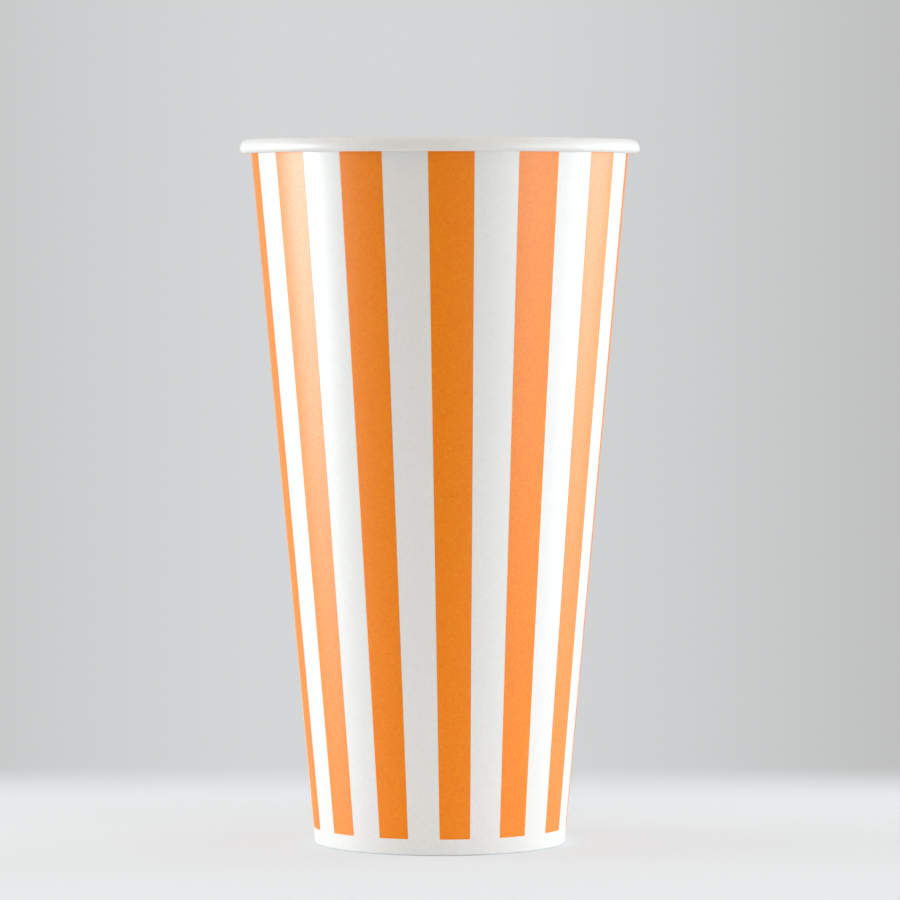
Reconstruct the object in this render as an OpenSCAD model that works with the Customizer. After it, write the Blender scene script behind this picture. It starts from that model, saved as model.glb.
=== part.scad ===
// Tall paper cup with a rolled rim, a glued side seam, a raised base and a print of upright stripes.
// The frame has its origin on the table under the middle of the cup, with +Z up and the front at -Y.
// A fan of coated board is wrapped into the sidewall. Its top edge is rolled outwards into the rim,
// and its foot is folded up inside the skirt of the base disc, which is sealed between the two.

/* [Cup] */
// Diameter over the rolled rim
rim_d = 90; // [84:0.5:100]
// Height from the table to the top of the rim
cup_h = 158.6; // [100:0.1:180]
// Diameter of the wall where it meets the table
base_d = 56.5; // [50:0.5:64]

/* [Board] */
// Thickness of the sidewall board
wall_t = 0.4; // [0.3:0.05:0.5]
// Thickness of the base board
base_t = 0.4; // [0.3:0.05:0.5]
// Gap that the heat seal takes between two layers
seal_gap = 0.02; // [0.01:0.01:0.04]

/* [Rolled rim] */
// Height of the roll
roll_h = 3.25; // [3:0.05:3.5]
// How far the roll stands out from the wall
roll_w = 2.6; // [2.4:0.05:2.9]
// Outside radius of the roll's lower bend
roll_low_r = 1.1; // [1:0.05:1.25]
// Gap between the wall and the edge tucked in behind the roll
tuck_gap = 0.15; // [0.1:0.05:0.3]

/* [Side seam] */
// Width of the glued overlap
lap_w = 5.4; // [4:0.1:5.8]
// Width over which the outer layer climbs onto the inner one
lap_ramp = 0.8; // [0.5:0.1:1]
// How far the roll swells where it holds both layers
rim_swell = 0.15; // [0.1:0.01:0.2]

/* [Base] */
// Height of the recess under the base disc
recess_h = 8; // [6:0.5:12]
// Outside radius of the bend between the base disc and its skirt
base_bend_r = 1.2; // [0.8:0.1:1.5]
// Distance from the base disc down to the top of the folded hem
hem_drop = 2; // [1.5:0.1:4]
// Outside radius of the pressed fold that the cup stands on
fold_r = 0.5; // [0.5:0.01:0.6]

/* [Print] */
// Number of stripes round the cup
stripe_count = 13; // [9:1:14]
// Width of a stripe at its top end
stripe_top_w = 10.2; // [6:0.1:12]
// Width of a stripe at its lower end
stripe_low_w = 6.75; // [4:0.05:8]
// Height of the bare band under the stripes
bare_band_h = 3.7; // [2:0.1:30]
// How far the print stands to one side on the blank, which makes it lean on the cup
print_shift = 5.1; // [0:0.1:8]
// Turn of the print round the cup, from the front
print_turn = -3.5; // [-14:0.5:14]
// Thickness of the ink, drawn much thicker than it is so that it shows as a solid
ink_t = 0.1; // [0.08:0.01:0.15]

/* [Hidden] */
$fn = 96;

// Largest turn between two points on a bend, in degrees
bend_step = 15;
// Direction of the board where the roll's top bend opens into its shoulder
shoulder_dir = -25;
// Turn of the tucked edge inside the roll, past the point where it runs straight up
tuck_turn = 60;
// Share of the tuck's radius that is left for that last turn
tuck_tighten = 0.7;
// How far the ink runs up behind the roll
print_tuck = 0.3;
// Bare board kept between the ink and the side seam
seam_bare = 0.2;
// How far a cutting or filling shape runs past what it cuts or fills
past = 4;

// Slope of the wall and its direction as a board that runs up from the table
neck_z = cup_h - roll_h;
slope = (rim_d / 2 - roll_w - base_d / 2) / neck_z;
wall_dir = atan2(1, slope);

// Radius of the wall's outer face and of its middle line at a height
function wall_r(z) = base_d / 2 + slope * z;
function mid_r(z) = wall_r(z) - wall_t / 2 / sin(wall_dir);

// A stop on a board's middle line is [radius, height, direction in degrees from level]
function last(stops) = stops[len(stops) - 1];

// The stops of a bend that starts from stop p and turns to direction dir at middle radius r
function bend(p, dir, r) =
    let (n = max(2, ceil(abs(dir - p[2]) / bend_step)), s = sign(dir - p[2]))
    [for (i = [1:n])
        let (a = p[2] + (dir - p[2]) * i / n)
        [p[0] + s * r * (sin(a) - sin(p[2])), p[1] - s * r * (cos(a) - cos(p[2])), a]];

// The point to the left of a stop by a distance, or to its right if that is negative
function beside(p, off) = [p[0] - off * sin(p[2]), p[1] + off * cos(p[2])];

// The outline between two distances from a middle line
function layer(stops, near, far) =
    concat([for (p = stops) beside(p, near)], [for (i = [len(stops) - 1:-1:0]) beside(stops[i], far)]);

// The section of a board of thickness t
function board(stops, t) = layer(stops, t / 2, -t / 2);

// The pressed fold at the foot, and the hem that runs up from it inside the skirt
fold_w = wall_t + base_t + 2 * seal_gap;
fold_mid_r = fold_r - wall_t / 2;
fold_flat = (fold_w - 2 * fold_mid_r) / sin(wall_dir);
foot_z = wall_t / 2 + fold_mid_r * (1 - cos(wall_dir));
flat_out = [mid_r(foot_z) - fold_mid_r * sin(wall_dir), wall_t / 2, 0];
flat_in = flat_out - [fold_flat, 0, 0];
hem_low = [flat_in[0] - fold_mid_r * sin(wall_dir), wall_t / 2 + fold_mid_r * (1 + cos(wall_dir)), wall_dir - 180];
function hem_stop(z) = [hem_low[0] + slope * (z - hem_low[1]), z, wall_dir - 180];
hem_z = recess_h - hem_drop;
fold_stops = concat([hem_low], bend(hem_low, 0, fold_mid_r), [flat_out], bend(flat_out, wall_dir, fold_mid_r));

// The radii of the roll's top bend and shoulder, which give it its height and its reach
low_mid_r = roll_low_r - wall_t / 2;
reach = rim_d / 2 - wall_t / 2 - mid_r(cup_h - wall_t / 2);
rise = roll_h - wall_t - low_mid_r;
top_across = sin(wall_dir) - sin(shoulder_dir) - slope * (1 - cos(wall_dir));
top_down = 1 - cos(shoulder_dir);
shoulder_across = 1 + sin(shoulder_dir);
shoulder_down = cos(shoulder_dir);
roll_det = top_across * shoulder_down - shoulder_across * top_down;
top_mid_r = (reach * shoulder_down - rise * shoulder_across) / roll_det;
shoulder_mid_r = (rise * top_across - reach * top_down) / roll_det;
roll_z = cup_h - wall_t / 2 - top_mid_r * (1 - cos(wall_dir));

// The tuck behind the roll, which comes up beside the wall and turns in
low_stop = [rim_d / 2 - wall_t / 2 - low_mid_r, neck_z + wall_t / 2];
tuck_mid_r = (low_stop[0] - mid_r(low_stop[1]) - (wall_t + tuck_gap) / sin(wall_dir)) / (1 + slope);

// The roll that shows, from the top of the wall over to its lowest line, and the whole of it
roll_start = [mid_r(roll_z), roll_z, wall_dir];
roll_top = concat([roll_start], bend(roll_start, shoulder_dir, top_mid_r));
roll_side = concat(roll_top, bend(last(roll_top), -90, shoulder_mid_r));
roll_seen = concat(roll_side, bend(last(roll_side), -180, low_mid_r));
roll_tuck = concat(roll_seen, bend(last(roll_seen), -270, tuck_mid_r));
roll_stops = concat(roll_tuck, bend(last(roll_tuck), -270 - tuck_turn, tuck_mid_r * tuck_tighten));

// The base disc and its skirt
base_mid_r = base_bend_r - base_t / 2;
bend_z = recess_h + base_t / 2 - base_mid_r * (1 + cos(wall_dir));
function skirt_stop(z) = [mid_r(z) - fold_w / 2 / sin(wall_dir), z, wall_dir - 180];
disc_edge = [skirt_stop(bend_z)[0] - base_mid_r * sin(wall_dir), recess_h + base_t / 2, 0];

// The print, and the side seam in the bare gap at its back
pitch = 360 / stripe_count;
print_top_z = neck_z + print_tuck;
seam_z = neck_z / 2;
seam_r = wall_r(seam_z);
seam_turn = print_turn + (floor(stripe_count / 2) + 0.5) * pitch + degrees_of(print_shift, seam_r);
seam_lean = atan(print_shift * slope / seam_r);
seam_w = lap_w + lap_ramp;

// The angle that a length along the wall takes at a radius
function degrees_of(length, r) = length / r * 180 / PI;

// Where the wall's outer face lies at distance x from the middle of the seam, seen across the seam
function sag(x) = -x * x / 2 / seam_r;

// Turns a section about the cup's axis
module turned(outline) rotate_extrude() polygon(outline);

// Sets a shape drawn across the seam, with x along the wall, y outwards and z up the seam
module on_seam(from_z, to_z)
    rotate([0, 0, seam_turn]) translate([0, -seam_r, seam_z]) rotate([90 - wall_dir, 0, 0])
        rotate([0, -seam_lean, 0]) mirror([0, 1, 0]) translate([0, 0, from_z - seam_z])
            linear_extrude(to_z - from_z) children();

// The second layer of board over the seam: a raw edge on one side, and a ramp on the other.
// It goes round the fold with the first, and is pressed level with the table there.
module seam_layer() {
    climb = (wall_t + sag(seam_w / 2 - lap_ramp) - sag(seam_w / 2)) / lap_ramp;
    stops = concat([hem_stop(hem_z - past / 10)], fold_stops, [[mid_r(neck_z), neck_z, wall_dir]]);
    intersection() {
        turned(layer(stops, -wall_t / 4, -wall_t * 3 / 2));
        cylinder(h = cup_h, d = rim_d);
        on_seam(-past, neck_z + past)
            polygon([
                [seam_w / 2, -past],
                [seam_w / 2, past / 2],
                [-seam_w / 2 + (past / 2 - sag(seam_w / 2)) / climb, past / 2],
                [-seam_w / 2, sag(seam_w / 2)],
                [-seam_w / 2 + lap_ramp, -past]
            ]);
    }
}

// The hollow inside the cup beside the raw edge of the inner layer
module seam_hollow() {
    edge = -seam_w / 2 + lap_ramp;
    climb = (wall_t + sag(edge) - sag(seam_w / 2)) / lap_ramp;
    on_seam(recess_h + base_t + seam_bare, roll_z)
        polygon([
            [edge, -past],
            [edge, sag(edge)],
            [edge - 1.5 * lap_ramp, sag(edge) - 1.5 * lap_ramp * climb],
            [edge - 1.5 * lap_ramp, -past]
        ]);
}

// The swelling of the roll over the seam, which starts and ends below the roll's face
module seam_swell() {
    sunk = wall_t / 8;
    function lift(p) = (rim_swell + sunk) * sin(180 * (wall_dir - p[2]) / (wall_dir + 180)) - sunk;
    intersection() {
        turned(concat(
            [for (p = roll_seen) beside(p, wall_t / 2 + lift(p))],
            [for (i = [len(roll_seen) - 1:-1:0]) beside(roll_seen[i], wall_t / 4)]
        ));
        on_seam(neck_z - past, cup_h + past)
            translate([-seam_w / 2 + lap_ramp, -past]) square([lap_w, 3 * past]);
    }
}

// The fan of board, from the hem inside the skirt, round the fold, up the wall and over the roll
module sidewall() {
    color("white") difference() {
        union() {
            turned(board(concat([hem_stop(hem_z)], fold_stops, roll_stops), wall_t));
            seam_layer();
            seam_swell();
        }
        seam_hollow();
    }
}

// The disc across the cup, with its skirt turned down between the wall and the hem
module base_disc() {
    color("ivory") turned(board(concat(
        [[0, disc_edge[1], 0], disc_edge],
        bend(disc_edge, wall_dir - 180, base_mid_r),
        [skirt_stop(fold_r + seal_gap)]
    ), base_t));
}

// One stripe, straight on the flat blank: a thin layer on the wall within two straight edges
module stripe() {
    low_r = wall_r(bare_band_h);
    top_r = wall_r(print_top_z);
    function across(x, r) = r * sin(degrees_of(x, r));
    intersection() {
        turned([
            [wall_r(bare_band_h - past) + seal_gap, bare_band_h - past],
            [wall_r(bare_band_h - past) + seal_gap + ink_t, bare_band_h - past],
            [wall_r(print_top_z + past) + seal_gap + ink_t, print_top_z + past],
            [wall_r(print_top_z + past) + seal_gap, print_top_z + past]
        ]);
        rotate([90, 0, 0]) linear_extrude(rim_d)
            polygon([
                [across(print_shift - stripe_low_w / 2, low_r), bare_band_h],
                [across(print_shift + stripe_low_w / 2, low_r), bare_band_h],
                [across(print_shift + stripe_top_w / 2, top_r), print_top_z],
                [across(print_shift - stripe_top_w / 2, top_r), print_top_z]
            ]);
    }
}

// The print, which leaves the seam bare
module printed_stripes() {
    color("darkorange") difference() {
        for (i = [0:stripe_count - 1]) rotate([0, 0, print_turn + i * pitch]) stripe();
        on_seam(-past, cup_h + past)
            translate([-seam_w / 2 - seam_bare, -past / 2]) square([seam_w + 2 * seam_bare, past]);
    }
}

sidewall();
base_disc();
printed_stripes();
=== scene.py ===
# %% [markdown]
# A tall paper cup with upright stripes.
# The real cup is two pieces of coated paperboard. A fan of board is wrapped into the sidewall and lapped
# in a glued seam, its top edge is rolled outwards into the rim, and its foot is folded up inside. A disc
# with a turned-down skirt is sealed between the wall and that fold. The stripes are printed on the wall.
# The construction comes first, as a fixed frame of solids, and everything here is dressed onto it.

# %% Load the frame
import math

import bmesh
import bpy
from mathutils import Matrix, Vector


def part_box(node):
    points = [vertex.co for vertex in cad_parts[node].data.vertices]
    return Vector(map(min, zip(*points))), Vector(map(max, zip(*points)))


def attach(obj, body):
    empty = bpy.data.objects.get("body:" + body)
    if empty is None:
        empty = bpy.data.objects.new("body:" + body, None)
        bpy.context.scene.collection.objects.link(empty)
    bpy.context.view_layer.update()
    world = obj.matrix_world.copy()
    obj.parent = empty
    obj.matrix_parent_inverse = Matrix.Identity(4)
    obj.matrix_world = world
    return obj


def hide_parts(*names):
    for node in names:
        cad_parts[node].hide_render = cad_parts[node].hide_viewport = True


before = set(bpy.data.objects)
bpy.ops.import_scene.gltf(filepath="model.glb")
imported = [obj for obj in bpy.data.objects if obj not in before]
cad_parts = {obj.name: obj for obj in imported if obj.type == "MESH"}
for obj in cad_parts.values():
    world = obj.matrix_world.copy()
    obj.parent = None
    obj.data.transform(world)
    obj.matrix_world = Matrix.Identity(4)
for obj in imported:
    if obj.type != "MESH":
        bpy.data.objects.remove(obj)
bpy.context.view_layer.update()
print("nodes in the frame:", sorted(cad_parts))

# %% [markdown]
# The sizes that drive the cup are the ones its maker would give: the rim, the height, the foot, the board
# and the tools that roll and fold it. The rim, the disc and the print are read from the frame, so that
# the dressed pieces stay where the solids are.

# %% Sizes of the cup
MM = 0.001
rim_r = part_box("sidewall")[1].x
cup_h = 158.6 * MM
foot_r = 28.25 * MM
board_t = 0.4 * MM
seal_gap = 0.02 * MM
roll_h = 3.25 * MM
roll_w = 2.6 * MM

neck_z = cup_h - roll_h
slope = (rim_r - roll_w - foot_r) / neck_z
wall_heading = math.degrees(math.atan2(1, slope))
lean_sin = math.sin(math.radians(wall_heading))
lean_cos = math.cos(math.radians(wall_heading))


def wall_r(z):
    """Radius of the wall's outer face at a height."""
    return foot_r + slope * z


def middle_r(z):
    """Radius of the middle of the board in the wall at a height."""
    return wall_r(z) - board_t / 2 / lean_sin


print(f"wall radius: {wall_r(0) / MM:.2f} to {wall_r(neck_z) / MM:.2f} mm")
print(f"wall leans {90 - wall_heading:.2f} degrees outwards")

# %% [markdown]
# Everything on this cup is a bent strip of board, so the first helper is a pen that draws a line in the
# plane of a section, with x as the radius and z as the height. The pen knows its heading in degrees. It
# runs straight by extruding its last vertex, and it bends by spinning that vertex about the bend's
# centre. A true arc comes out at any radius, and the maker's radii can be used as they are.

# %% A pen for sections
bend_step = 10


def new_section():
    """An empty bmesh with layers for the row, the side and the column of each vertex."""
    bm = bmesh.new()
    for name in ("row", "side", "column"):
        bm.verts.layers.int.new(name)
    return bm


def heading_vector(heading):
    """The direction of a heading in the plane of the section."""
    return Vector((math.cos(math.radians(heading)), 0, math.sin(math.radians(heading))))


def start_line(bm, radius, height, heading):
    """Sets the pen down and returns its line, a list of vertices with the heading at each."""
    return [(bm.verts.new((radius, 0, height)), heading)]


def run(bm, line, length, steps=1, heading=None):
    """Carries the line straight on, in equal steps."""
    way = line[-1][1] if heading is None else heading
    for _ in range(steps):
        tip = bmesh.ops.extrude_vert_indiv(bm, verts=[line[-1][0]])["verts"][0]
        bmesh.ops.translate(bm, verts=[tip], vec=heading_vector(way) * length / steps)
        line.append((tip, way))


def bend(bm, line, heading, radius):
    """Carries the line round a bend to a new heading, left or right."""
    start, old = line[-1]
    turn = heading - old
    side = math.copysign(90, turn)
    centre = start.co + heading_vector(old + side) * radius
    steps = max(2, math.ceil(abs(turn) / bend_step))
    for i in range(steps):
        made = bmesh.ops.spin(bm, geom=[line[-1][0]], cent=centre, axis=(0, -1, 0),
                              angle=math.radians(turn / steps), steps=1)
        tip = [v for v in made["geom_last"] if isinstance(v, bmesh.types.BMVert)][0]
        line.append((tip, old + turn * (i + 1) / steps))


# %% [markdown]
# The line of the sidewall follows one strip of board from edge to edge. It starts at the top of the hem,
# runs down, turns round the pressed fold that the cup stands on, climbs the wall and goes over into the
# roll. The roll isn't a circle: a tight bend at the top opens into a flatter shoulder, then a tighter
# lower bend carries the edge back up behind it, where the raw edge ends tucked in.

# %% The line of the sidewall
fold_r = 0.5 * MM
roll_top_r = 0.847 * MM
roll_shoulder_r = 2.064 * MM
roll_low_r = 0.9 * MM
tuck_r = 1.036 * MM
tuck_end_r = 0.725 * MM
shoulder_heading = -25
tuck_turn = 60
disc_t = 0.4 * MM
hem_top = 6 * MM
wall_steps = 12

fold_middle_r = fold_r - board_t / 2
foot_z = board_t / 2 + fold_middle_r * (1 - lean_cos)
fold_out_r = middle_r(foot_z) - fold_middle_r * lean_sin
fold_flat = (board_t + disc_t + 2 * seal_gap - 2 * fold_middle_r) / lean_sin
hem_foot_r = fold_out_r - fold_flat - fold_middle_r * lean_sin
hem_foot_z = board_t / 2 + fold_middle_r * (1 + lean_cos)
roll_z = cup_h - board_t / 2 - roll_top_r * (1 - lean_cos)

section = new_section()
line = start_line(section, hem_foot_r + slope * (hem_top - hem_foot_z), hem_top, wall_heading - 180)
run(section, line, (hem_top - hem_foot_z) / lean_sin)
hem_end = len(line)
bend(section, line, 0, fold_middle_r)
run(section, line, fold_flat)
bend(section, line, wall_heading, fold_middle_r)
fold_end = len(line)
run(section, line, (neck_z - line[-1][0].co.z) / lean_sin, wall_steps)
wall_end = len(line)
run(section, line, (roll_z - neck_z) / lean_sin, 3)
behind_roll_end = len(line)
bend(section, line, shoulder_heading, roll_top_r)
bend(section, line, -90, roll_shoulder_r)
bend(section, line, -180, roll_low_r)
roll_end = len(line)
bend(section, line, -270, tuck_r)
bend(section, line, -270 - tuck_turn, tuck_end_r)
stops = [(v.co.x, v.co.z, heading) for v, heading in line]
print(f"sidewall line: {len(stops)} points, widest middle radius {max(s[0] for s in stops) / MM:.3f} mm")

# %% [markdown]
# A line becomes a strip of faces by extruding its edges once, and the strip becomes board by spinning it
# round the cup. Each vertex keeps its row along the line, its side of the board and its column round the
# cup in layers of whole numbers, because spin and extrude copy those layers. With them, the last step can
# move any vertex to the exact place that the board takes there.

# %% From a line to a solid of revolution in numbered rows and columns
LEFT = 0
RIGHT = 1


def strip_of(bm, line):
    """Turns the pen's line into a strip of faces with numbered rows and sides, and returns its parts."""
    row = bm.verts.layers.int["row"]
    side = bm.verts.layers.int["side"]
    for i, (vert, _) in enumerate(line):
        vert[row] = i
    made = bmesh.ops.extrude_edge_only(bm, edges=bm.edges[:])["geom"]
    for vert in made:
        if isinstance(vert, bmesh.types.BMVert):
            vert[side] = RIGHT
            vert.co.x += board_t
    return bm.verts[:] + bm.edges[:] + bm.faces[:]


def sweep(bm, geom, columns, turn):
    """Spins a strip through a turn in as many steps as there are columns after the first."""
    column = bm.verts.layers.int["column"]
    for i in range(1, columns):
        made = bmesh.ops.spin(bm, geom=geom, cent=(0, 0, 0), axis=(0, 0, 1),
                              angle=turn / (columns - 1), steps=1)
        geom = made["geom_last"]
        for vert in geom:
            if isinstance(vert, bmesh.types.BMVert):
                vert[column] = i


def set_down(vert, stop, offset, azimuth):
    """Moves a vertex to its place: a stop, an offset to the left of it, and an azimuth from the front."""
    radius, height, heading = stop
    radius -= offset * math.sin(math.radians(heading))
    height += offset * math.cos(math.radians(heading))
    vert.co = (radius * math.sin(azimuth), -radius * math.cos(azimuth), height)


# %% [markdown]
# Round the cup the board overlaps itself at the back. Its first edge is the inner layer of the seam. The
# sheet then goes all the way round, climbs a ramp over that edge and ends in a second raw edge outside.
# The seam is straight on the flat blank and so is the print, which stands about 5 mm to one side of the
# blank's middle. That is why both lean a little on the finished cone. On the wall the seam is two boards
# thick. In the fold and in the roll the tools press the two layers into less room.

# %% The side seam
print_shift = 5.1 * MM
print_turn = math.radians(-3.5)
stripe_count = 13
pitch = 2 * math.pi / stripe_count
seam_r = wall_r(neck_z / 2)
seam_turn = print_turn + (stripe_count // 2 + 0.5) * pitch
lap_w = 5.4 * MM
ramp_w = 0.8 * MM
press_w = 1.0 * MM
rim_swell = 0.12 * MM
fold_press = 0.08 * MM
roll_press = 0.09 * MM
lap_steps = 8
ramp_steps = 5
body_steps = 232

ramp_x = -(lap_w + ramp_w) / 2
inner_x = ramp_x + ramp_w
outer_x = inner_x + lap_w
body_x = outer_x + press_w


def smooth(share):
    """A soft step from 0 to 1."""
    share = min(max(share, 0), 1)
    return share * share * (3 - 2 * share)


def spread(low, high, steps):
    """Equal steps from low up to high, without low itself."""
    return [low + (high - low) * (i + 1) / steps for i in range(steps)]


# A column is its whole turns round the cup, its distance along the wall from the seam, and how far the
# board there is pressed into the seam.
inner_columns = [(0, x, 1) for x in [inner_x] + spread(inner_x, outer_x, lap_steps)]
inner_columns += [(0, x, 1 - smooth((x - outer_x) / press_w)) for x in spread(outer_x, body_x, ramp_steps)]
body_columns = [(k, body_x + (ramp_x - body_x) * k, 0) for k in spread(0, 1, body_steps)]
outer_columns = [(1, x, smooth((x - ramp_x) / ramp_w)) for x in spread(ramp_x, inner_x, ramp_steps)]
outer_columns += [(1, x, 1) for x in spread(inner_x, outer_x, lap_steps)]
columns = inner_columns + body_columns + outer_columns


def print_azimuth(turn, x, z):
    """Azimuth of a line that is straight on the blank, at a distance along the wall from its middle."""
    return turn + (print_shift + x) / wall_r(min(z, neck_z))


def seam_room(row):
    """How far the seam may stand proud to the left and to the right of a single board at a row."""
    heading = math.radians(stops[row][2])
    if row < hem_end - 1 or fold_end - 1 <= row < wall_end:
        return 0, board_t + seal_gap
    if row < fold_end:
        fall = math.cos(heading)
        pressed = fold_r * (1 - fall) / fall if fall > 0 else board_t
        return fold_press * max(fall, 0), min(board_t + seal_gap, pressed)
    if behind_roll_end <= row < roll_end:
        share = (wall_heading - stops[row][2]) / (wall_heading + 180)
        return rim_swell * math.sin(math.pi * share), roll_press
    return 0, roll_press


def seam_offset(row, side, press, outer):
    """Offset of a vertex from the middle line, where its board is pressed into the seam by a share."""
    left, right = seam_room(row)
    layer_t = (board_t + left + right - seal_gap) / 2
    plain = board_t / 2 if side == LEFT else -board_t / 2
    if outer:
        lapped = -board_t / 2 - right + (layer_t if side == LEFT else 0)
    else:
        lapped = board_t / 2 + left - (layer_t if side == RIGHT else 0)
    return plain + (lapped - plain) * press


# %% [markdown]
# The inside of the hem is knurled. A toothed roller presses the hem, the skirt and the wall together from
# inside the recess, and it leaves fine upright ridges there. They are drawn by moving every second
# column of the hem's face into the board.

# %% Build the sidewall
knurl_depth = 0.05 * MM


def build_sidewall(bm):
    """Sweeps the section round the cup and sets each vertex where the wrapped board is."""
    sweep(bm, strip_of(bm, line), len(columns), 2 * math.pi + lap_w / seam_r)
    row = bm.verts.layers.int["row"]
    side = bm.verts.layers.int["side"]
    column = bm.verts.layers.int["column"]
    for vert in bm.verts:
        turns, x, press = columns[vert[column]]
        stop = stops[vert[row]]
        offset = seam_offset(vert[row], vert[side], press, turns > 0.5)
        if vert[row] == hem_end - 1 and vert[side] == RIGHT and vert[column] % 2:
            offset += knurl_depth
        azimuth = print_azimuth(seam_turn + turns * 2 * math.pi, x, stop[1])
        set_down(vert, stop, offset, azimuth)
    for face in bm.faces:
        ends = {vert[column] for vert in face.verts} in ({0}, {len(columns) - 1})
        edges = {vert[row] for vert in face.verts} in ({0}, {len(stops) - 1})
        face.material_index = 1 if ends or edges else 0


build_sidewall(section)
print(f"sidewall: {len(section.verts)} points, {len(section.faces)} faces")

# %% [markdown]
# Finishing a mesh is the same for each piece. Its normals are made to point outwards, its faces are shaded
# smooth, and the edges where the board was cut stay sharp. The object stays at the origin, so its place
# is in its mesh, as it is in the frame's own nodes.

# %% Turn a bmesh into a finished piece
sharp_angle = math.radians(35)


def finished_piece(name, bm, node):
    """Makes the object of a piece, which rides on the cup and stands for a node of the frame."""
    bmesh.ops.recalc_face_normals(bm, faces=bm.faces)
    for face in bm.faces:
        face.smooth = True
    for edge in bm.edges:
        edge.smooth = edge.calc_face_angle(0) < sharp_angle
    mesh = bpy.data.meshes.new(name)
    bm.to_mesh(mesh)
    bm.free()
    piece = bpy.data.objects.new(name, mesh)
    bpy.context.scene.collection.objects.link(piece)
    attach(piece, "root")
    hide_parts(node)
    open_edges = sum(1 for count in edge_uses(mesh).values() if count != 2)
    print(f"{name}: {len(mesh.polygons)} faces, {open_edges} edges without two faces")
    return piece


def edge_uses(mesh):
    """How many faces use each edge of a mesh."""
    uses = {}
    for polygon in mesh.polygons:
        for key in polygon.edge_keys:
            uses[key] = uses.get(key, 0) + 1
    return uses


sidewall = finished_piece("wrapped_sidewall", section, "sidewall")

# %% [markdown]
# The base is punched and drawn from one disc of board. The pen can draw its whole outline: out along the
# top, round the bend, down the skirt, across the cut edge, and back inside. A full spin closes it.

# %% Build the base disc
disc_bend_r = 1.2 * MM
disc_columns = 180

disc_low, disc_high = (corner.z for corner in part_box("base_disc"))
skirt_heading = wall_heading - 180
bend_z = disc_high - disc_bend_r * (1 + lean_cos)
skirt_r = wall_r(bend_z) - (board_t + seal_gap) / lean_sin
skirt_l = (bend_z - disc_low) / lean_sin

section = new_section()
line = start_line(section, 0, disc_high, 0)
run(section, line, skirt_r - disc_bend_r * lean_sin)
bend(section, line, skirt_heading, disc_bend_r)
run(section, line, skirt_l)
run(section, line, disc_t, heading=skirt_heading - 90)
run(section, line, skirt_l, heading=wall_heading)
bend(section, line, 180, disc_bend_r - disc_t)
run(section, line, line[-1][0].co.x)
bmesh.ops.spin(section, geom=section.verts[:] + section.edges[:], cent=(0, 0, 0), axis=(0, 0, 1),
               angle=2 * math.pi, steps=disc_columns, use_merge=True)
bmesh.ops.remove_doubles(section, verts=section.verts, dist=0.001 * MM)
base_disc = finished_piece("pressed_base_disc", section, "base_disc")

# %% [markdown]
# The stripes are ink, which is far thinner than a hair. They could be a colour in the wall's material,
# but a thin film of its own keeps each edge crisp at any size of render, and the stripes stay a piece
# that can be given another colour. Each film is a strip swept over the stripe's width. Its edges are
# straight on the blank, so on the cone they follow the same rule as the seam.

# %% Build the stripes
stripe_top_w = 10.2 * MM
stripe_low_w = 6.75 * MM
film_lift = 0.012 * MM
film_t = 0.012 * MM
film_rows = 24
film_columns = 13

print_low, print_top = (corner.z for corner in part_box("printed_stripes"))


def stripe_w(z):
    """Width of a stripe at a height."""
    return stripe_low_w + (stripe_top_w - stripe_low_w) * (z - print_low) / (print_top - print_low)


def build_stripe(turn):
    """One film of ink, from the bare band at the foot to behind the roll."""
    bm = new_section()
    line = start_line(bm, wall_r(print_low), print_low, wall_heading)
    run(bm, line, (print_top - print_low) / lean_sin, film_rows)
    film_stops = [(v.co.x, v.co.z, heading) for v, heading in line]
    sweep(bm, strip_of(bm, line), film_columns, stripe_top_w / rim_r)
    row = bm.verts.layers.int["row"]
    side = bm.verts.layers.int["side"]
    column = bm.verts.layers.int["column"]
    for vert in bm.verts:
        stop = film_stops[vert[row]]
        x = stripe_w(stop[1]) * (vert[column] / (film_columns - 1) - 0.5)
        offset = -film_lift - (film_t if vert[side] == RIGHT else 0)
        set_down(vert, stop, offset, print_azimuth(turn, x, stop[1]))
    return bm


film = bmesh.new()
for i in range(stripe_count):
    stripe = build_stripe(print_turn + i * pitch)
    one = bpy.data.meshes.new("one_stripe")
    stripe.to_mesh(one)
    stripe.free()
    film.from_mesh(one)
    bpy.data.meshes.remove(one)
stripes = finished_piece("stripe_film", film, "printed_stripes")

# %% [markdown]
# Materials come next. Colours are written as a designer picks them, in sRGB hex, and turned to the linear
# values that the shader works with. Patterns are sized in real millimetres: a noise texture repeats
# about once in 1/scale, so a scale is one over the size of the feature.

# %% Helpers for materials
def linear(hex_code):
    """An sRGB hex colour as linear red, green, blue and alpha."""
    parts = [int(hex_code[i:i + 2], 16) / 255 for i in (0, 2, 4)]
    return [p / 12.92 if p <= 0.04045 else ((p + 0.055) / 1.055) ** 2.4 for p in parts] + [1]


def per(millimetres):
    """Scale of a texture whose features have a size in millimetres."""
    return 1 / (millimetres * MM)


def new_material(name):
    """An empty material, and the tree of its nodes."""
    material = bpy.data.materials.new(name)
    material.use_nodes = True
    material.node_tree.nodes.clear()
    return material, material.node_tree


def add_node(tree, kind, inputs=None, **settings):
    """Adds a node. An input that is given as a socket is linked, and any other is set."""
    node = tree.nodes.new(kind)
    for name, value in settings.items():
        setattr(node, name, value)
    for name, value in (inputs or {}).items():
        if isinstance(value, bpy.types.NodeSocket):
            tree.links.new(value, node.inputs[name])
        else:
            node.inputs[name].default_value = value
    return node


def colour_ramp(tree, value, stops):
    """A node that turns a value to a colour, from places and their sRGB hex colours."""
    ramp = add_node(tree, "ShaderNodeValToRGB", {"Fac": value})
    while len(ramp.color_ramp.elements) < len(stops):
        ramp.color_ramp.elements.new(0.5)
    for element, place in zip(ramp.color_ramp.elements, sorted(stops)):
        element.position = place
        element.color = linear(stops[place])
    return ramp


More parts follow.
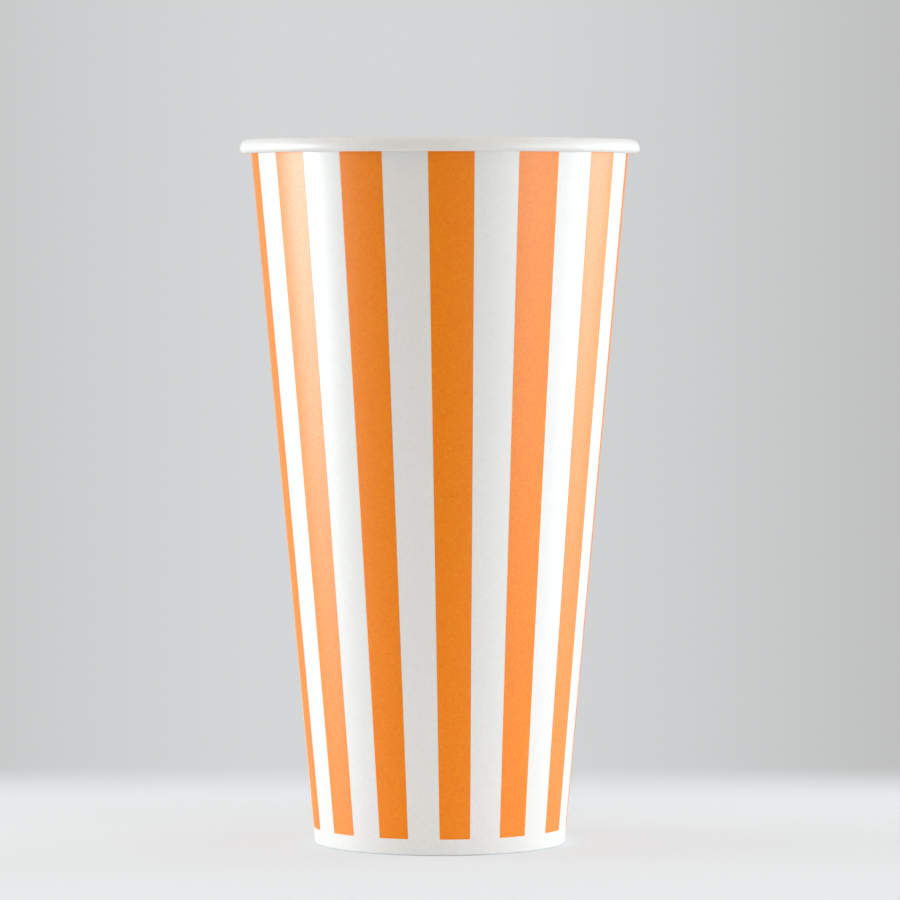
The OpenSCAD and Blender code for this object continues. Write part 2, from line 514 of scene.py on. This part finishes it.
# %% [markdown]
# The cup is bleached paperboard, coated on both sides with a thin film of polyethylene. The film gives a
# soft satin gloss, and the fibres under it show through as a faint unevenness, a tenth of a millimetre
# to a millimetre across. The eye sees that as a fine grain in the gloss and as a slight cloudiness in
# the white, where the fibres are drawn twice as long up the cup as round it. Both patterns read Object
# coordinates, so the grain runs on under the ink. The film's index of refraction is set lower than the
# real 1.5, because a full reflection of the pale table would veil the orange.

# %% Coated board
fibre_size = 0.45
floc_size = 2.6
cloud_size = 3
cloud_weight = 0.15
grain_height = 0.02 * MM
satin_roughness = 0.42
film_index = 1.36


def board_grain(tree, place, strength):
    """The unevenness of coated board as a bump, from fine fibres and from broader flocs."""
    fibres = add_node(tree, "ShaderNodeTexNoise", {"Vector": place, "Scale": per(fibre_size),
                                                   "Detail": 3})
    flocs = add_node(tree, "ShaderNodeTexNoise", {"Vector": place, "Scale": per(floc_size), "Detail": 2})
    both = add_node(tree, "ShaderNodeMath", {0: flocs.outputs["Fac"], 1: fibres.outputs["Fac"]},
                    operation="ADD")
    return add_node(tree, "ShaderNodeBump", {"Height": both.outputs[0], "Strength": strength,
                                             "Distance": grain_height})


def coated_board(name, light, dark, roughness):
    """White board under a satin film of plastic."""
    material, tree = new_material(name)
    place = add_node(tree, "ShaderNodeTexCoord").outputs["Object"]
    along = add_node(tree, "ShaderNodeMapping", {"Vector": place, "Scale": (1, 1, 0.5)})
    fibres = add_node(tree, "ShaderNodeTexNoise", {"Vector": along.outputs[0],
                                                   "Scale": per(fibre_size), "Detail": 1})
    cloud = add_node(tree, "ShaderNodeTexNoise", {"Vector": place, "Scale": per(cloud_size), "Detail": 2})
    both = add_node(tree, "ShaderNodeMath", {0: cloud.outputs["Fac"], 1: cloud_weight,
                                             2: fibres.outputs["Fac"]}, operation="MULTIPLY_ADD")
    share = add_node(tree, "ShaderNodeMapRange", {"Value": both.outputs[0], "From Min": 0.275,
                                                  "From Max": 0.875})
    tone = add_node(tree, "ShaderNodeMix", {0: share.outputs["Result"], 6: linear(dark),
                                            7: linear(light)}, data_type="RGBA")
    grain = board_grain(tree, place, 0.4)
    shader = add_node(tree, "ShaderNodeBsdfPrincipled", {
        "Base Color": tone.outputs[2], "Roughness": roughness, "IOR": film_index,
        "Normal": grain.outputs["Normal"]})
    add_node(tree, "ShaderNodeOutputMaterial", {"Surface": shader.outputs[0]})
    return material


white_board = coated_board("bleached_board_with_satin_film", "F1F1EF", "EBEAE8", satin_roughness)
base_board = coated_board("base_board_with_satin_film", "EEECE9", "E4E2DD", 0.45)

# %% [markdown]
# Where the board was cut, no film covers it. The edge is raw pulp: warmer, matt, and finely rough.

# %% Cut edge of the board
pulp_size = 0.2
pulp_height = 0.04 * MM


def cut_board():
    """Raw pulp at the cut edges of the board."""
    material, tree = new_material("raw_cut_board")
    place = add_node(tree, "ShaderNodeTexCoord").outputs["Object"]
    pulp = add_node(tree, "ShaderNodeTexNoise", {"Vector": place, "Scale": per(pulp_size), "Detail": 4})
    tone = add_node(tree, "ShaderNodeMix", {0: pulp.outputs["Fac"], 6: linear("CFC5B2"),
                                            7: linear("E9E2D4")}, data_type="RGBA")
    rough = add_node(tree, "ShaderNodeBump", {"Height": pulp.outputs["Fac"], "Strength": 0.8,
                                              "Distance": pulp_height})
    shader = add_node(tree, "ShaderNodeBsdfPrincipled", {
        "Base Color": tone.outputs[2], "Roughness": 0.9, "Normal": rough.outputs["Normal"]})
    add_node(tree, "ShaderNodeOutputMaterial", {"Surface": shader.outputs[0]})
    return material


raw_edge = cut_board()

# %% [markdown]
# The stripes are printed with a soft rubber plate and water-based ink. Such a print is slightly mottled:
# the ink is a little thinner on the tops of the fibres and a little thicker between them, in specks of
# about half a millimetre. Over it lies the same satin finish as on the white board beside it.

# %% Orange ink
speck_size = 0.42


def printed_ink():
    """Flexographic orange with its fine mottle."""
    material, tree = new_material("orange_flexo_ink")
    place = add_node(tree, "ShaderNodeTexCoord").outputs["Object"]
    specks = add_node(tree, "ShaderNodeTexNoise", {"Vector": place, "Scale": per(speck_size),
                                                   "Detail": 3, "Roughness": 0.6})
    tone = colour_ramp(tree, specks.outputs["Fac"], {0.3: "FD7A04", 0.7: "FF9B0F"})
    grain = board_grain(tree, place, 0.5)
    shader = add_node(tree, "ShaderNodeBsdfPrincipled", {
        "Base Color": tone.outputs["Color"], "Roughness": satin_roughness, "IOR": film_index,
        "Normal": grain.outputs["Normal"]})
    add_node(tree, "ShaderNodeOutputMaterial", {"Surface": shader.outputs[0]})
    return material


orange_ink = printed_ink()

# %% Put the finishes on
sidewall.data.materials.append(white_board)
sidewall.data.materials.append(raw_edge)
base_disc.data.materials.append(base_board)
stripes.data.materials.append(orange_ink)

# %% [markdown]
# The photograph was taken from about 1.2 m away with a long lens, a little below the rim's height and
# looking slightly down, so the rim is nearly a straight line. The cup stands a little left of the
# middle, which a small turn of the camera gives.

# %% Camera
camera_distance = 1.1818
camera_height = 0.13924
camera_pitch = math.radians(2.4523)
camera_yaw = math.radians(-0.1115)
focal_px = 5241.84
frame_px = 900

camera_data = bpy.data.cameras.new("camera")
camera_data.sensor_width = 36
camera_data.lens = focal_px / frame_px * camera_data.sensor_width
camera_data.clip_end = 20
camera = bpy.data.objects.new("camera", camera_data)
camera.location = (0, -camera_distance, camera_height)
camera.rotation_euler = (math.pi / 2 - camera_pitch, 0, camera_yaw)
bpy.context.scene.collection.objects.link(camera)
bpy.context.scene.camera = camera

# %% [markdown]
# The cup stands on a small pale table with a grey wall far behind. The table ends a little way behind the
# cup and is out of focus there, so its surface fades out over a few centimetres. The fade is part of the
# table's material, and it ends the table at its other three sides too. Near the cup, half of what the
# camera sees of the table is a plain pale tone and half is the lit surface with the cup's shadow. Further
# out the plain tone takes over, so that the soft boxes leave no bright patches there.

# %% Table
table_half = 1100 * MM
far_edge = 87 * MM
near_edge = 190 * MM
side_edge = 346.25 * MM
edge_fade = 83 * MM
table_colour = "EEF2F5"
plain_tone = "E4E9EC"
plain_share = 0.5
plain_near = 120 * MM
plain_far = 320 * MM


def table_top():
    """A matt pale table whose far edge fades away softly, and its other edges further out."""
    material, tree = new_material("pale_table_top")
    place = add_node(tree, "ShaderNodeTexCoord").outputs["Object"]
    half_depth = (near_edge + far_edge) / 2
    centred = add_node(tree, "ShaderNodeMapping", {
        "Vector": place, "Location": (0, (near_edge - far_edge) / 2, 0),
        "Scale": (half_depth / side_edge, 1, 1)})
    away = add_node(tree, "ShaderNodeVectorMath", {0: centred.outputs[0]}, operation="ABSOLUTE")
    axes = add_node(tree, "ShaderNodeSeparateXYZ", {"Vector": away.outputs[0]})
    furthest = add_node(tree, "ShaderNodeMath", {0: axes.outputs["X"], 1: axes.outputs["Y"]},
                        operation="MAXIMUM")
    fade = add_node(tree, "ShaderNodeMapRange", {
        "Value": furthest.outputs[0], "From Min": half_depth, "From Max": half_depth + edge_fade},
        interpolation_type="SMOOTHSTEP")
    surface = add_node(tree, "ShaderNodeBsdfDiffuse", {"Color": linear(table_colour)})
    plain = add_node(tree, "ShaderNodeEmission", {"Color": linear(plain_tone)})
    path = add_node(tree, "ShaderNodeLightPath")
    reach = add_node(tree, "ShaderNodeVectorMath", {"Vector": place}, operation="LENGTH")
    share = add_node(tree, "ShaderNodeMapRange", {
        "Value": reach.outputs["Value"], "From Min": plain_near, "From Max": plain_far,
        "To Min": plain_share}, interpolation_type="SMOOTHSTEP")
    even = add_node(tree, "ShaderNodeMath", {0: path.outputs["Is Camera Ray"], 1: share.outputs["Result"]},
                    operation="MULTIPLY")
    seen = add_node(tree, "ShaderNodeMixShader", {"Fac": even.outputs[0], 1: surface.outputs[0],
                                                  2: plain.outputs[0]})
    clear = add_node(tree, "ShaderNodeBsdfTransparent")
    mixed = add_node(tree, "ShaderNodeMixShader", {"Fac": fade.outputs["Result"], 1: seen.outputs[0],
                                                   2: clear.outputs[0]})
    add_node(tree, "ShaderNodeOutputMaterial", {"Surface": mixed.outputs[0]})
    return material


table = bmesh.new()
bmesh.ops.create_grid(table, x_segments=1, y_segments=1, size=table_half)
table_mesh = bpy.data.meshes.new("table")
table.to_mesh(table_mesh)
table.free()
table_object = bpy.data.objects.new("table", table_mesh)
table_object.data.materials.append(table_top())
bpy.context.scene.collection.objects.link(table_object)

# %% [markdown]
# The world is the room. The camera sees a soft grey wall all round, lightest in a band behind the cup and
# again far to the sides. Gloss mirrors that wall too, but towards the camera the room is dim, which keeps
# the orange at the front deep. Every other ray meets the fill: a grey floor round the table, a darker
# wall, and a ceiling that is a little warm and brightest overhead. All of it is a little brighter on the
# camera's side. Each tone has a place: how far off the middle it lies for the wall, and how high, from 0
# straight down to 1 straight up, for the fill.

# %% Backdrop and fill light
wall_middle = -0.012
wall_tones = {0.02: "D5D6D7", 0.06: "CDCECF", 0.13: "B4B4B4", 0.45: "D0D1D2"}
fill_tones = {0.44: "A8A29B", 0.54: "6E6760", 0.6: "6E6760", 0.8: "DACDBF", 0.975: "FFFFFF"}
fill_at_camera = 1.17
fill_behind = 1
mirrored_at_camera = 0.03

world = bpy.data.worlds.new("studio")
world.use_nodes = True
world.node_tree.nodes.clear()
bpy.context.scene.world = world
tree = world.node_tree
heading = add_node(tree, "ShaderNodeTexCoord").outputs["Generated"]
axes = add_node(tree, "ShaderNodeSeparateXYZ", {"Vector": heading})
off_centre = add_node(tree, "ShaderNodeMath", {0: axes.outputs["X"], 1: wall_middle},
                      operation="SUBTRACT")
off_side = add_node(tree, "ShaderNodeMath", {0: off_centre.outputs[0]}, operation="ABSOLUTE")
wall_tone = colour_ramp(tree, off_side.outputs[0], wall_tones)
path = add_node(tree, "ShaderNodeLightPath")
room = add_node(tree, "ShaderNodeMapRange", {"Value": axes.outputs["Y"], "From Min": -0.5, "From Max": 0.1,
                                             "To Min": mirrored_at_camera, "To Max": 1})
level = add_node(tree, "ShaderNodeMath", {0: room.outputs["Result"], 1: path.outputs["Is Camera Ray"]},
                 operation="MAXIMUM")
mirrored = add_node(tree, "ShaderNodeMath", {0: path.outputs["Is Camera Ray"],
                                             1: path.outputs["Is Glossy Ray"]}, operation="MAXIMUM")
seen = add_node(tree, "ShaderNodeMath", {0: mirrored.outputs[0],
                                         1: path.outputs["Is Transmission Ray"]}, operation="MAXIMUM")
height = add_node(tree, "ShaderNodeMapRange", {"Value": axes.outputs["Z"], "From Min": -1})
fill_tone = colour_ramp(tree, height.outputs["Result"], fill_tones)
strength = add_node(tree, "ShaderNodeMapRange", {"Value": axes.outputs["Y"], "From Min": -1, "From Max": 0,
                                                 "To Min": fill_at_camera, "To Max": fill_behind})
fill = add_node(tree, "ShaderNodeBackground", {"Color": fill_tone.outputs["Color"],
                                               "Strength": strength.outputs["Result"]})
wall = add_node(tree, "ShaderNodeBackground", {"Color": wall_tone.outputs["Color"],
                                               "Strength": level.outputs[0]})
mixed = add_node(tree, "ShaderNodeMixShader", {"Fac": seen.outputs[0], 1: fill.outputs[0],
                                               2: wall.outputs[0]})
add_node(tree, "ShaderNodeOutputWorld", {"Surface": mixed.outputs[0]})

# %% [markdown]
# Low, long soft boxes stand at the table's level on both sides of the cup. They light its flanks, which is
# where the satin film shows its gloss, and leave the front a shade darker. The upper part of the cup
# mirrors them, and the lower part mirrors the table instead. A weaker one stands nearer the camera at the
# right. Two more hang higher and a little behind the cup. They draw a line of light along the ends of the
# rolled rim and reach the back of the wall. Each box is two lamps in one place. One gives the light, and
# the other is only mirrored, so that the highlights can be strong without more light on the white board.

# %% Soft boxes
box_distance = 0.85
low_box = (0, 0.3)
high_box = (0.3, 0.7)
box_colour = "EDF8FF"


def soft_lamp(name, azimuth, width, heights, radiance):
    """An even lamp that faces the cup from an azimuth, between two heights."""
    low, high = heights
    data = bpy.data.lights.new(name, "AREA")
    data.shape = "RECTANGLE"
    data.size = width
    data.size_y = high - low
    data.energy = math.pi * width * (high - low) * radiance
    data.color = linear(box_colour)[:3]
    turn = math.radians(azimuth)
    lamp = bpy.data.objects.new(name, data)
    lamp.location = (box_distance * math.sin(turn), -box_distance * math.cos(turn), (low + high) / 2)
    lamp.rotation_euler = (math.pi / 2, 0, turn)
    lamp.visible_camera = False
    bpy.context.scene.collection.objects.link(lamp)
    return lamp


def soft_box(name, azimuth, width, heights, light, mirrored):
    """A soft box of two lamps: one for the light that it gives, one for its mirror image."""
    soft_lamp(name + "_light", azimuth, width, heights, light).visible_glossy = False
    soft_lamp(name + "_mirrored", azimuth, width, heights, mirrored).visible_diffuse = False


soft_box("left_soft_box", -91, 0.4, low_box, 12.3, 42)
soft_box("right_soft_box", 110, 0.3, low_box, 7.9, 27)
soft_box("front_right_soft_box", 57, 0.5, low_box, 6, 16)
soft_box("left_high_soft_box", -112, 0.3, high_box, 1.5, 4)
soft_box("right_high_soft_box", 112, 0.3, high_box, 1.8, 3)

# %% Close the scene
bpy.context.scene.view_settings.view_transform = "Standard"
